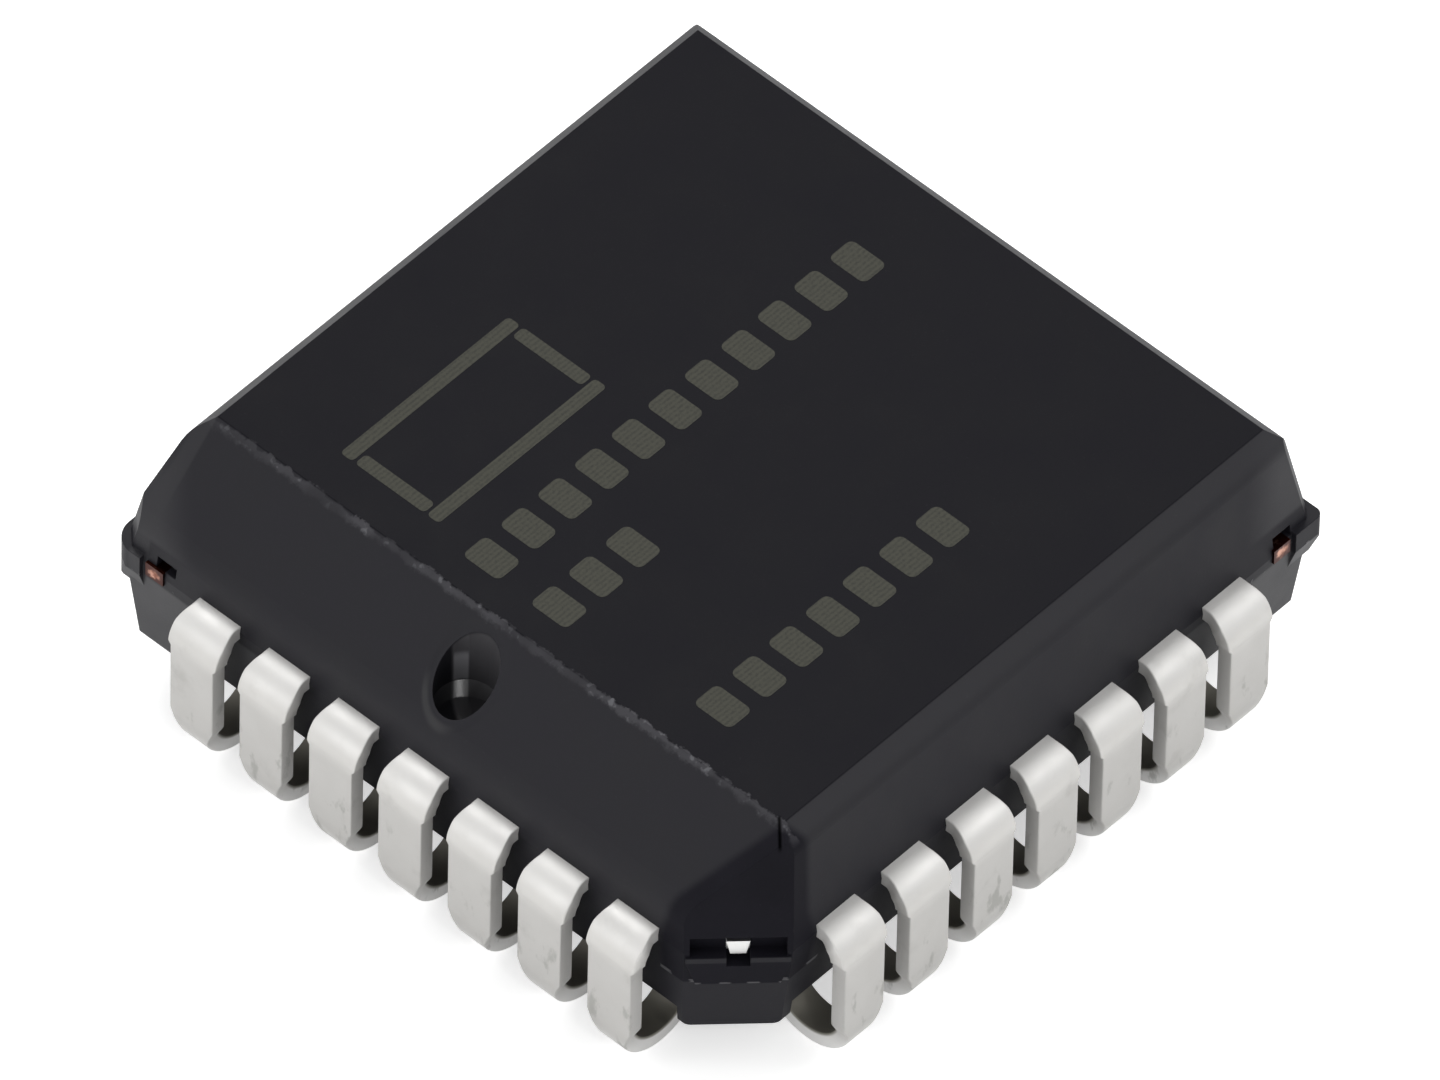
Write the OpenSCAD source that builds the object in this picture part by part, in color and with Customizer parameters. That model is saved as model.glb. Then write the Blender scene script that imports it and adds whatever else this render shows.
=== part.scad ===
// Plastic leaded chip carrier with seven J-formed leads on each of its four sides.
// The moulded body seals in the die, the paddle that it is glued to, the inner ends of the
// leads and the bond wires between them.
// Frame: +Z up, with the origin under the middle of the body on the plane where the leads stand.
// The side with the wide bevel and the round dimple faces -X, and pin one is its middle lead.
// Pins count anticlockwise, seen from above.

/* [Package] */
// Width of the square body over its corner ears
body_w = 11.51; // [11.4:0.01:14.2]
// Height from the plane where the leads stand to the top face
package_h = 4.45; // [4.05:0.05:5.4]
// Height of the underside of the body over that plane
standoff = 0.92; // [0.6:0.01:1.15]
// Leads on each side, an odd number so that pin one is in the middle
leads_per_side = 7; // [5:2:7]
// Distance between neighbouring leads
pitch = 1.27; // [1:0.01:1.27]

/* [Moulded body] */
// How far the walls stand inside the corner ears
wall_inset = 0.07; // [0.04:0.005:0.12]
// Inward lean of the upper walls, for each unit of height
upper_draft = 0.161; // [0.08:0.001:0.2]
// Inward lean of the lower walls, for each unit of height
lower_draft = 0.105; // [0.04:0.001:0.13]
// The same for the lower wall of the pin one side, which stands steeper
pin_one_lower_draft = 0.045; // [0.03:0.001:0.13]
// Drop of the narrow bevel round the top face
edge_bevel = 0.28; // [0.2:0.01:0.4]
// Radius that blends the narrow bevel into its wall
edge_blend_r = 0.38; // [0.2:0.01:0.6]
// Distance from the ears' face to the start of the wide bevel on the pin one side
wide_bevel_inset = 1.455; // [1.1:0.005:1.7]
// Radius that blends the wide bevel into its wall
wide_blend_r = 0.7; // [0.3:0.05:0.8]
// Leg of the small flats on the full corners of the upper half
corner_flat = 0.14; // [0.08:0.01:0.25]
// Leg of the wider one of those flats, at the other end of the pin one side
wide_corner_flat = 0.22; // [0.08:0.01:0.25]
// Leg of the flats on those corners of the lower half, at the parting line
lower_corner_flat = 0.14; // [0.08:0.01:0.25]
// Inward lean of those lower flats, for each unit of height
lower_corner_lean = 0.133; // [0.06:0.001:0.2]
// Diameter of the dimple that marks pin one
dimple_d = 0.9; // [0.6:0.05:1]
// Plastic left between the dimple's floor and the leads
dimple_floor = 0.2; // [0.15:0.01:0.4]
// Radius of the lower edges
foot_edge_r = 0.1; // [0.05:0.01:0.15]
// Depth of the troughs under the body that the lead tips curl into
trough_h = 0.34; // [0.15:0.01:0.45]
// Room between the lead tips and the troughs' inner walls
trough_gap = 0.25; // [0.15:0.01:0.4]
// Length of wall left between a trough's end and the cut corner
trough_end = 0.15; // [0.1:0.01:0.3]
// Diameter of the two ejector marks on the underside
ejector_d = 1.6; // [1:0.1:2]
// Depth of the ejector marks
ejector_depth = 0.06; // [0.03:0.01:0.1]
// Distance between the ejector marks
ejector_spacing = 5.8; // [4:0.1:6.5]

/* [Cut corner] */
// Leg of the cut corner beside pin four
cut_corner = 1.03; // [0.8:0.01:1.2]
// Inward lean of the lower half's cut face, for each unit of height
lower_cut_lean = 0.063; // [0.04:0.001:0.2]
// Width of the slot over the tie bar in the cut corner
slot_w = 1.3; // [1:0.01:1.3]
// Depth of that slot
slot_depth = 0.18; // [0.1:0.01:0.25]
// Height of the slot's roof over the leadframe
slot_rise = 0.11; // [0.05:0.01:0.3]
// Height of the slot's floor over the leadframe's lower face
slot_floor = 0.04; // [0:0.01:0.1]
// Width of the ledge under the slot
ledge_w = 1.41; // [1.35:0.01:1.45]
// Width of the ledge at its foot
ledge_foot_w = 1.14; // [1:0.01:1.3]
// Height of the ledge
ledge_h = 0.52; // [0.3:0.01:0.6]
// Height of the ledge's upright sides
ledge_lip = 0.1; // [0.05:0.01:0.2]
// How far the ledge stands out of the cut face
ledge_proud = 0.03; // [0.02:0.01:0.05]

/* [Corner ears] */
// Length of an ear along each wall
ear_len = 0.55; // [0.4:0.05:0.6]
// Height of an ear's upright face
ear_h = 0.35; // [0.3:0.01:0.4]
// Height of the slope under an ear
ear_slope_h = 0.41; // [0.2:0.01:0.5]
// Radius of the corners of two ears
ear_r = 0.38; // [0.1:0.01:0.4]
// Radius of the corner of the sharper ear, which ends the side after the cut corner
sharp_ear_r = 0.12; // [0.05:0.01:0.2]

/* [Leadframe] */
// Thickness of the leadframe metal
metal_t = 0.25; // [0.2:0.01:0.3]
// Height of the leadframe's upper face over the plane where the leads stand
leadframe_top = 2.65; // [2.5:0.01:2.9]
// How far the leads' outer faces stand outside the corner ears
lead_proud = 0.47; // [0.45:0.01:0.6]
// Outer radius of the bend at the lead's shoulder
shoulder_r = 0.475; // [0.4:0.005:0.5]
// Outer radius of the J at the foot
foot_r = 0.8; // [0.6:0.01:0.85]
// Angle that the tip curls on past the lowest point of the J
tip_angle = 60; // [40:1:70]
// Width of a lead where it leaves the body
exit_w = 0.76; // [0.6:0.01:0.8]
// Width of a lead over the stubs of the cut dam bar
stub_w = 0.87; // [0.8:0.01:0.95]
// Angle into the shoulder's bend where the stubs start
stub_angle = 18; // [10:1:30]
// Drop of the stubs' lower end below the leadframe
stub_drop = 0.2; // [0.1:0.01:0.3]
// Width of a lead's upright leg
leg_w = 0.78; // [0.6:0.01:0.8]
// Width of a lead's foot
foot_w = 0.5; // [0.4:0.01:0.55]
// Height over which the leg narrows to the foot
taper_h = 0.32; // [0.2:0.01:0.4]
// Width of a lead at its inner tip
tip_w = 0.4; // [0.3:0.01:0.45]
// Straight length of a lead at its inner tip
tip_len = 0.45; // [0.3:0.01:0.6]
// Straight length of a lead inside the wall, before it turns towards its inner tip
root_len = 0.45; // [0.3:0.01:0.6]
// Gap between the inner tips and the paddle
paddle_gap = 0.25; // [0.2:0.01:0.4]
// Gap between the last inner tip of a row and the tie bar
frame_gap = 0.2; // [0.15:0.01:0.25]

/* [Die and paddle] */
// Width of the square paddle under the die
paddle_w = 5.2; // [4.3:0.05:5.6]
// Drop of the paddle below the leads
downset = 0.2; // [0.1:0.01:0.3]
// Width of the tie bars that carry the paddle
tie_w = 0.32; // [0.2:0.01:0.35]
// Length of a tie bar level with the paddle, out from its corner
tie_level = 0.2; // [0.1:0.01:0.4]
// Length over which a tie bar rises to the leads
tie_ramp = 0.35; // [0.2:0.01:0.5]
// Distance from the ears' face to the middle of the tie bars that leave through the walls
tie_exit_inset = 0.78; // [0.7:0.01:0.9]
// How far those two stand out of their walls, and the one in the last corner out of its ear
tie_proud = 0.03; // [0:0.01:0.05]
// Length of the tie bar in the cut corner's slot
tie_in_slot = 0.09; // [0.03:0.01:0.15]
// Width of that end along its lower edge, where the cut pinched it
pinched_w = 0.21; // [0.15:0.01:0.3]
// Depth of the notch in the ledge below that end
tie_notch_depth = 0.12; // [0.05:0.01:0.2]
// Width of the small slots in the walls over the other two tie bars
tie_slot_w = 0.35; // [0.25:0.01:0.4]
// Height of those slots
tie_slot_h = 0.18; // [0.1:0.01:0.3]
// Depth of those slots
tie_slot_depth = 0.15; // [0.1:0.01:0.3]
// How far the slot in the pin one side lies nearer the leads than its tie bar
near_slot_shift = 0.17; // [0:0.01:0.2]
// How far the slot in the other side lies nearer the ear than its tie bar
ear_slot_shift = 0.05; // [0:0.01:0.06]
// Size of the die along X
die_x = 3.6; // [2.4:0.05:4.3]
// Size of the die along Y
die_y = 3.2; // [2.4:0.05:4.3]
// Thickness of the die
die_t = 0.38; // [0.25:0.01:0.45]
// Thickness of the adhesive under the die
attach_t = 0.03; // [0.02:0.005:0.05]
// How far the adhesive spreads out past the die
attach_spread = 0.1; // [0.05:0.01:0.15]

/* [Bond wires] */
// Diameter of a bond wire
wire_d = 0.033; // [0.025:0.001:0.05]
// Height of a wire's loop over the die
loop_h = 0.22; // [0.15:0.01:0.3]
// Diameter of the ball on the die
ball_d = 0.09; // [0.07:0.01:0.12]
// Height of the ball
ball_h = 0.04; // [0.03:0.005:0.06]
// Diameter of the stitch on the lead
stitch_d = 0.11; // [0.08:0.01:0.15]
// Height of the stitch
stitch_h = 0.015; // [0.01:0.001:0.02]
// Distance of the stitch from the lead's inner tip
stitch_inset = 0.2; // [0.1:0.01:0.3]
// Distance of the bond pads from the die's edge
pad_inset = 0.12; // [0.1:0.01:0.2]
// Distance of the last pads of a row from the die's corners
pad_corner_inset = 0.35; // [0.25:0.01:0.5]

/* [Hidden] */
$fn = 64;

PLASTIC = "#2b2a2f";
TIN = "#dcdcda";
COPPER = "#b87345";
SILVER_ADHESIVE = "#9a9a98";
SILICON = "#4c5563";
GOLD = "#d9a93a";

// Extra reach of a cutting shape past the face that it cuts
past = 0.5;
root2 = sqrt(2);

// Body
ear_face = body_w / 2;
parting_z = leadframe_top - metal_t / 2;
parting_half = ear_face - wall_inset;
lower_h = parting_z - standoff;
wall_top_half = parting_half - upper_draft * (package_h - parting_z);
// Drop from the top face at which a bevel at 45 degrees from half width h meets the wall
function bevel_drop(h) = (wall_top_half - h) / (1 - upper_draft);
edge_half = wall_top_half - edge_bevel * (1 - upper_draft);
wide_half = ear_face - wide_bevel_inset;
wide_drop = bevel_drop(wide_half);
// Middle of the wide bevel, where the dimple lies
dimple_u = wide_half + wide_drop / 2;
// Distance from the axis, at the parting line, of a corner flat with this leg
function corner_d(leg) = root2 * parting_half - leg / root2;

// Leadframe
half_count = (leads_per_side - 1) / 2;
lead_count = 4 * leads_per_side;
leadframe_z = leadframe_top - metal_t;
leg_face = ear_face + lead_proud;
shoulder_u = leg_face - shoulder_r;
foot_u = leg_face - foot_r;
foot_inner_r = foot_r - metal_t;
taper_top = foot_inner_r + taper_h;
stub_u = shoulder_u + shoulder_r * sin(stub_angle);
stub_z = leadframe_z - stub_drop;
root_u = parting_half - root_len;
tip_u = paddle_w / 2 + paddle_gap;
tip_pitch = (tip_u - tie_w / root2 - frame_gap - tip_w / 2) / half_count;

// Paddle, die and wires
paddle_z = leadframe_z - downset;
attach_z = paddle_z + metal_t;
die_z = attach_z + attach_t;
die_top = die_z + die_t;
tie_low_d = paddle_w / root2 + tie_level;
tie_high_d = tie_low_d + tie_ramp;
tie_exit = ear_face - tie_exit_inset;
// Where a tie bar that turns ends its straight run, and how far the two parts lap
tie_straight_d = tie_exit * root2 - tie_w;
tie_lap = tie_w / 4;
// Where the tie bar in the last corner ends, just out of the ear's rounded tip
ear_tip_d = root2 * ear_face - ear_r * (root2 - 1) + tie_proud;
// Where the tie bars start, inside the paddle's corners
tie_root_d = paddle_w / root2 - tie_w;

// Corner beside pin four
cut_d = corner_d(cut_corner);
slot_d = cut_d - slot_depth;
slot_low = leadframe_z + slot_floor;

// Angles of the four corners: the cut one, and the full ones with their ears and upper flats
CUT_CORNER = 225;
FULL_CORNERS = [135, 315, 45];
EAR_RADII = [ear_r, sharp_ear_r, ear_r];
UPPER_FLATS = [wide_corner_flat, corner_flat, corner_flat];

function lead_name(pin) = str("lead_", pin < 10 ? "0" : "", pin);

// Plane outlines with true arcs

function unit(v) = v / norm(v);

// The two points where a fillet of radius r touches the sides that meet at vertex i
function fillet_ends(points, radii, i) =
    let (
        v = points[i],
        to_last = unit(points[(i + len(points) - 1) % len(points)] - v),
        to_next = unit(points[(i + 1) % len(points)] - v),
        reach = radii[i] / tan(acos(to_last * to_next) / 2)
    )
    [v + to_last * reach, v + to_next * reach];

// A convex outline whose vertex i is rounded to radii[i], or left sharp at 0
module rounded_outline(points, radii) {
    difference() {
        polygon(points);
        for (i = [0 : len(points) - 1])
            if (radii[i] > 0)
                corner_waste(points[i], fillet_ends(points, radii, i), radii[i]);
    }
}

// What a fillet of radius r takes off the vertex v, between its two ends. The circle is a touch
// larger than the fillet, so that it crosses the sides at a clear angle.
module corner_waste(v, ends, r) {
    middle = (ends[0] + ends[1]) / 2;
    outward = unit(v - middle);
    half_chord = (ends[1] - ends[0]) / 2;
    centre = middle - outward * sqrt(r * r - half_chord * half_chord);
    reach = half_chord * 1.5;
    difference() {
        polygon([
            middle - reach,
            middle + reach,
            middle + reach + outward * r,
            middle - reach + outward * r
        ]);
        translate(centre) circle(r = r * 1.0002);
    }
}

// A ring of radii inner and outer, from angle start round to angle end, under 180 degrees apart
module ring_sector(inner, outer, start, end) {
    far = 2 * outer / cos((end - start) / 4);
    middle = (start + end) / 2;
    intersection() {
        difference() {
            circle(r = outer);
            circle(r = inner);
        }
        polygon([
            [0, 0],
            far * [cos(start), sin(start)],
            far * [cos(middle), sin(middle)],
            far * [cos(end), sin(end)]
        ]);
    }
}

// Solids from outlines

// An outline in X and Z, drawn out along Y to both sides
module across_y(width) {
    rotate([90, 0, 0]) linear_extrude(height = width, center = true) children();
}

// An outline in Y and Z, drawn out along X to both sides
module across_x(width) {
    rotate([90, 0, 90]) linear_extrude(height = width, center = true) children();
}

// Turns +X to the corner at this angle
module at_corner(angle) {
    rotate([0, 0, angle]) children();
}

// Mirrors across the upright plane through the cut corner, so that -X becomes -Y
module across_diagonal() {
    mirror([1, -1, 0]) children();
}

// All that lies outside the plane that stands at distance d in X at height z and leans
// inwards by lean for each unit up
module outside_plane(d, z, lean) {
    size = body_w;
    translate([d, 0, z])
        rotate([0, -atan(lean), 0])
            translate([0, -size / 2, -size / 2])
                cube(size);
}

// Moulded body

// Upper outline across the side walls: bevelled alike on both sides
module upper_outline_even() {
    edge_z = package_h - edge_bevel;
    edge_wall = edge_half + edge_bevel;
    rounded_outline(
        [
            [-parting_half, parting_z],
            [parting_half, parting_z],
            [edge_wall, edge_z],
            [edge_half, package_h],
            [-edge_half, package_h],
            [-edge_wall, edge_z]
        ],
        [0, 0, edge_blend_r, 0, 0, edge_blend_r]
    );
}

// Upper outline across the pin one side at -X, where the bevel is wide
module upper_outline_pin_one() {
    rounded_outline(
        [
            [-parting_half, parting_z],
            [parting_half, parting_z],
            [edge_half + edge_bevel, package_h - edge_bevel],
            [edge_half, package_h],
            [-wide_half, package_h],
            [-wide_half - wide_drop, package_h - wide_drop]
        ],
        [0, 0, edge_blend_r, 0, 0, wide_blend_r]
    );
}

// Lower outline between walls of which the one on the negative side leans in by first_draft
module lower_outline(first_draft) {
    rounded_outline(
        [
            [-parting_half + first_draft * lower_h, standoff],
            [parting_half - lower_draft * lower_h, standoff],
            [parting_half, parting_z],
            [-parting_half, parting_z]
        ],
        [foot_edge_r, foot_edge_r, 0, 0]
    );
}

module upper_half() {
    difference() {
        intersection() {
            across_y(body_w) upper_outline_pin_one();
            across_x(body_w) upper_outline_even();
        }
        at_corner(CUT_CORNER)
            outside_plane(cut_d, parting_z, upper_draft * root2);
        for (i = [0 : len(FULL_CORNERS) - 1])
            at_corner(FULL_CORNERS[i])
                outside_plane(corner_d(UPPER_FLATS[i]), parting_z, upper_draft * root2);
    }
}

module lower_half() {
    difference() {
        intersection() {
            across_y(body_w) lower_outline(pin_one_lower_draft);
            across_x(body_w) lower_outline(lower_draft);
        }
        at_corner(CUT_CORNER)
            outside_plane(cut_d, parting_z, -lower_cut_lean);
        for (angle = FULL_CORNERS)
            at_corner(angle)
                outside_plane(corner_d(lower_corner_flat), parting_z, -lower_corner_lean);
    }
}

// Outline of the ears in X and Z: upright at the ear face, then sloping in to the lower wall
module ear_outline() {
    ear_top = parting_z + ear_h / 2;
    ear_low = parting_z - ear_h / 2;
    slope_low = ear_low - ear_slope_h;
    slope_half = parting_half - lower_draft * (parting_z - slope_low);
    polygon([
        [-ear_face, ear_top],
        [-ear_face, ear_low],
        [-slope_half, slope_low],
        [slope_half, slope_low],
        [ear_face, ear_low],
        [ear_face, ear_top]
    ]);
}

// Ears that square off the three full corners at the parting line
module corner_ears() {
    slope_span = ear_h + ear_slope_h;
    corner = [ear_face, ear_face];
    intersection() {
        across_y(body_w) ear_outline();
        across_x(body_w) ear_outline();
        translate([0, 0, parting_z + ear_h / 2 - slope_span])
            linear_extrude(height = slope_span)
                for (i = [0 : len(FULL_CORNERS) - 1])
                    rotate(FULL_CORNERS[i] - 45)
                        rounded_outline(
                            [
                                corner,
                                corner - [ear_len, 0],
                                corner - [ear_len, ear_len],
                                corner - [0, ear_len]
                            ],
                            [EAR_RADII[i], 0, 0, 0]
                        );
    }
}

// Ledge under the tie bar in the cut corner, narrower at its foot
module corner_ledge() {
    upright = slot_low - ledge_lip;
    ledge_low = slot_low - ledge_h;
    at_corner(CUT_CORNER)
        translate([cut_d + ledge_proud - past, 0, 0])
            rotate([90, 0, 90])
                linear_extrude(height = past)
                    polygon([
                        [-ledge_w / 2, slot_low],
                        [-ledge_w / 2, upright],
                        [-ledge_foot_w / 2, ledge_low],
                        [ledge_foot_w / 2, ledge_low],
                        [ledge_w / 2, upright],
                        [ledge_w / 2, slot_low]
                    ]);
}

// Slot in the cut corner over the ledge, where the mould met the tie bar
module corner_slot() {
    at_corner(CUT_CORNER)
        translate([slot_d, -slot_w / 2, slot_low])
            cube([past, slot_w, leadframe_top + slot_rise - slot_low]);
}

// Notch in the ledge below the end of the tie bar, as wide as the bar
module ledge_notch() {
    notch_low = leadframe_z - tie_notch_depth;
    at_corner(CUT_CORNER)
        translate([slot_d, -tie_w / 2, notch_low])
            cube([past, tie_w, leadframe_top - notch_low]);
}

// Small slot in the -X wall over the tie bar there, moved along the wall by shift
module wall_slot(shift) {
    translate([-parting_half - past, tie_exit + shift - tie_slot_w / 2, leadframe_top])
        cube([past + tie_slot_depth, tie_slot_w, tie_slot_h]);
}

module wall_slots() {
    wall_slot(-near_slot_shift);
    across_diagonal() wall_slot(ear_slot_shift);
}

module dimple() {
    translate([-dimple_u, 0, leadframe_top + dimple_floor])
        cylinder(h = package_h, d = dimple_d);
}

// Troughs along the underside that leave room for the curled lead tips
module tip_troughs() {
    tip_reach = foot_r * sin(tip_angle) + trough_gap;
    trough_half = parting_half - cut_corner - trough_end;
    for (side = [0 : 3])
        rotate([0, 0, 90 * side])
            translate([foot_u - tip_reach, -trough_half, standoff - past])
                cube([tip_reach + past + foot_r, 2 * trough_half, past + trough_h]);
}

module ejector_marks() {
    for (side = [-1, 1])
        translate([side * ejector_spacing / 2, 0, standoff - past])
            cylinder(h = past + ejector_depth, d = ejector_d);
}

// The body as it looks from outside
module body_form() {
    difference() {
        union() {
            upper_half();
            lower_half();
            corner_ears();
            corner_ledge();
        }
        corner_slot();
        ledge_notch();
        wall_slots();
        dimple();
        tip_troughs();
        ejector_marks();
    }
}

// The room for the pieces sealed inside, taken out one kind after another

module body_around_paddle() {
    difference() {
        body_form();
        paddle_shape();
    }
}

module body_around_attach() {
    difference() {
        body_around_paddle();
        attach_shape();
    }
}

module body_around_die() {
    difference() {
        body_around_attach();
        die_shape();
    }
}

module body_around_leads() {
    difference() {
        body_around_die();
        for (pin = [1 : lead_count])
            at_pin_side(pin) lead_blade(pin_place(pin));
    }
}

module moulded_body() {
    color(PLASTIC)
        difference() {
            body_around_leads();
            for (pin = [1 : lead_count])
                wire_shape(pin);
        }
}

// Leads

// Index along the row, from the first pin of the pin one side, and the side that it falls on
function pin_index(pin) = (pin - 1 + half_count) % lead_count;
function pin_side(pin) = floor(pin_index(pin) / leads_per_side);
// Place in its row, from -half_count to half_count, anticlockwise
function pin_place(pin) = pin_index(pin) % leads_per_side - half_count;

// Turns +X to the side of this pin
module at_pin_side(pin) {
    rotate([0, 0, 180 + 90 * pin_side(pin)]) children();
}

// Side view of the formed part of a lead: shoulder, leg and J
module formed_outline() {
    translate([root_u, leadframe_z])
        square([shoulder_u - root_u, metal_t]);
    translate([shoulder_u, leadframe_top - shoulder_r])
        ring_sector(shoulder_r - metal_t, shoulder_r, 0, 90);
    translate([leg_face - metal_t, foot_r])
        square([metal_t, leadframe_top - shoulder_r - foot_r]);
    translate([foot_u, foot_r])
        ring_sector(foot_inner_r, foot_r, -90 - tip_angle, 0);
}

// Front view of a lead: broad where the dam bar was, then the leg, tapering to the foot
module front_outline() {
    taper_low = taper_top - taper_h;
    polygon([
        [-foot_w / 2, -past],
        [foot_w / 2, -past],
        [foot_w / 2, taper_low],
        [leg_w / 2, taper_top],
        [leg_w / 2, stub_z],
        [stub_w / 2, stub_z],
        [stub_w / 2, package_h],
        [-stub_w / 2, package_h],
        [-stub_w / 2, stub_z],
        [-leg_w / 2, stub_z],
        [-leg_w / 2, taper_top],
        [-foot_w / 2, taper_low]
    ]);
}

// Plan of a lead outside its row of blades: narrower again between the body and the dam bar
module shoulder_plan() {
    polygon([
        [0, -exit_w / 2],
        [stub_u, -exit_w / 2],
        [stub_u, -stub_w / 2],
        [leg_face + past, -stub_w / 2],
        [leg_face + past, stub_w / 2],
        [stub_u, stub_w / 2],
        [stub_u, exit_w / 2],
        [0, exit_w / 2]
    ]);
}

// Inner blade of the lead at this place in its row, fanned in to the paddle
module lead_blade(place) {
    tip_v = place * tip_pitch;
    row_v = place * pitch;
    // Distance from the centre, sideways place and width at each station of the blade
    stations = [
        [tip_u, tip_v, tip_w],
        [tip_u + tip_len, tip_v, tip_w],
        [root_u, row_v, exit_w],
        [shoulder_u, row_v, exit_w]
    ];
    last = len(stations) - 1;
    translate([0, 0, leadframe_z])
        linear_extrude(height = metal_t)
            polygon(concat(
                [for (s = stations) [s[0], s[1] - s[2] / 2]],
                [for (i = [last : -1 : 0]) [stations[i][0], stations[i][1] + stations[i][2] / 2]]
            ));
}

module lead_outside(place) {
    translate([0, place * pitch, 0])
        intersection() {
            across_y(2 * stub_w) formed_outline();
            rotate([90, 0, 90]) linear_extrude(height = leg_face + past) front_outline();
            linear_extrude(height = package_h) shoulder_plan();
        }
}

module lead(pin) {
    place = pin_place(pin);
    color(TIN)
        at_pin_side(pin)
            union() {
                lead_outside(place);
                lead_blade(place);
            }
}

// Paddle with its tie bars

// Side view of a tie bar along its diagonal: level with the paddle, then up to the leads
module tie_outline(end_d) {
    polygon([
        [tie_root_d, paddle_z],
        [tie_low_d, paddle_z],
        [tie_high_d, leadframe_z],
        [end_d, leadframe_z],
        [end_d, leadframe_top],
        [tie_high_d, leadframe_top],
        [tie_low_d, paddle_z + metal_t],
        [tie_root_d, paddle_z + metal_t]
    ]);
}

// End of the tie bar in the corner of the -X and +Y walls, which turns out through the -X wall
module tie_exit_bar() {
    end_u = parting_half + tie_proud;
    elbow = [-tie_exit, tie_exit];
    along = unit(elbow);
    side = [-along[0], along[1]] * tie_w / 2;
    mitre = [cos(67.5), sin(67.5)] * tie_w / 2 / cos(22.5);
    translate([0, 0, leadframe_z])
        linear_extrude(height = metal_t)
            polygon([
                along * tie_straight_d + side,
                elbow + mitre,
                [-end_u, tie_exit + tie_w / 2],
                [-end_u, tie_exit - tie_w / 2],
                elbow - mitre,
                along * tie_straight_d - side
            ]);
}

// End of the tie bar in the cut corner's slot, narrower along its lower edge
module pinched_end() {
    at_corner(CUT_CORNER)
        translate([slot_d, 0, leadframe_z])
            rotate([90, 0, 90])
                linear_extrude(height = tie_in_slot)
                    polygon([
                        [-tie_w / 2, metal_t],
                        [-pinched_w / 2, 0],
                        [pinched_w / 2, 0],
                        [tie_w / 2, metal_t]
                    ]);
}

module paddle_shape() {
    translate([-paddle_w / 2, -paddle_w / 2, paddle_z])
        cube([paddle_w, paddle_w, metal_t]);
    at_corner(CUT_CORNER)
        across_y(tie_w) tie_outline(slot_d);
    pinched_end();
    for (i = [0, 1])
        at_corner(FULL_CORNERS[i])
            across_y(tie_w) tie_outline(tie_straight_d + tie_lap);
    at_corner(FULL_CORNERS[2])
        across_y(tie_w) tie_outline(ear_tip_d);
    tie_exit_bar();
    across_diagonal() tie_exit_bar();
}

module die_paddle() {
    color(COPPER) paddle_shape();
}

// Die and its adhesive

module attach_shape() {
    translate([0, 0, attach_z + attach_t / 2])
        cube([die_x + 2 * attach_spread, die_y + 2 * attach_spread, attach_t], center = true);
}

module die_attach() {
    color(SILVER_ADHESIVE) attach_shape();
}

module die_shape() {
    translate([0, 0, die_z + die_t / 2])
        cube([die_x, die_y, die_t], center = true);
}

module silicon_die() {
    color(SILICON) die_shape();
}

// Bond wires

// Half length of the die towards a side, and its length along that side
function die_half(side) = (side % 2 == 0 ? die_x : die_y) / 2;
function die_run(side) = side % 2 == 0 ? die_y : die_x;

// Where the wire of a pin meets the die and its lead, in the frame of the pin's side
function pad_point(pin) = [
    die_half(pin_side(pin)) - pad_inset,
    pin_place(pin) * (die_run(pin_side(pin)) / 2 - pad_corner_inset) / half_count
];
function stitch_point(pin) = [tip_u + stitch_inset, pin_place(pin) * tip_pitch];

// One wire: a ball on the die, the loop that rises out of it, and a straight run down to the lead
module wire_shape(pin) {
    $fn = 24;
    start = pad_point(pin);
    span = stitch_point(pin) - start;
    run = norm(span);
    rise = ball_h / 2;
    loop_r = loop_h - rise;
    drop_z = leadframe_top + (stitch_h + wire_d) / 2 - die_top - rise;
    // The run leaves the loop where the line to the stitch touches the loop's circle
    sight = norm([run - loop_r, drop_z]);
    leave = atan2(drop_z, run - loop_r) + acos(loop_r / sight);
    straight = sqrt(sight * sight - loop_r * loop_r);
    at_pin_side(pin)
        translate([start[0], start[1], die_top])
            rotate([0, 0, atan2(span[1], span[0])]) {
                cylinder(h = ball_h, d = ball_d);
                translate([loop_r, 0, rise])
                    rotate([90, 0, 0])
                        rotate([0, 0, leave]) {
                            rotate_extrude(angle = 180 - leave)
                                translate([loop_r, 0]) circle(d = wire_d);
                            translate([loop_r, 0, 0])
                                rotate([90, 0, 0])
                                    cylinder(h = straight, d = wire_d);
                        }
                translate([run, 0, leadframe_top - die_top])
                    cylinder(h = stitch_h, d = stitch_d);
            }
}

module bond_wires() {
    color(GOLD)
        for (pin = [1 : lead_count])
            wire_shape(pin);
}

moulded_body();
die_paddle();
die_attach();
silicon_die();
bond_wires();
for (pin = [1 : lead_count])
    lead(pin);
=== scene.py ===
"""Looks of a plastic leaded chip carrier: moulded body, J-formed leads and what is sealed inside."""

import logging
import math
from dataclasses import dataclass, field
from enum import Enum

import bmesh
import bpy
from mathutils import Matrix, Vector


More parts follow.
